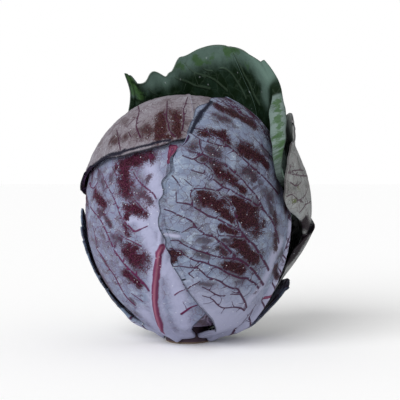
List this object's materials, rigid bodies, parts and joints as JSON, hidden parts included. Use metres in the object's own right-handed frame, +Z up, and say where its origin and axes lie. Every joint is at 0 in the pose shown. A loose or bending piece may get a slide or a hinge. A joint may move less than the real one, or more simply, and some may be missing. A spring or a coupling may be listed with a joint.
{
  "type": "red cabbage head",
  "caption": "Upright head of red cabbage on its cut stump, with a tight heart, overlapping ribbed wrapper leaves and loose torn outer leaves.",
  "frame": {"origin": "middle of the stump's cut face, on the surface that the head stands on", "axes": "+Z up through the head, -Y towards the side with the two big wrapper leaves, +X to the right of that side"},
  "size_m": [0.177, 0.155, 0.225],
  "materials": {
    "cut_stalk": "dry pale cut stalk",
    "heart_leaf": "firm folded red cabbage leaves, waxy purple",
    "wrapper_leaf": "waxy blue-purple leaf with fine veins",
    "outer_leaf": "dark green leaf with a grey waxy bloom"
  },
  "bodies": {
    "root": {"stump": "cut_stalk", "heart": "heart_leaf", "wrapper_leaf_front_left": "wrapper_leaf", "wrapper_leaf_crown": "wrapper_leaf", "wrapper_leaf_front_right": "wrapper_leaf", "outer_leaf_back_left": "wrapper_leaf", "outer_leaf_back": "outer_leaf", "outer_leaf_right": "outer_leaf", "outer_leaf_stub": "outer_leaf"}
  },
  "joints": []
}
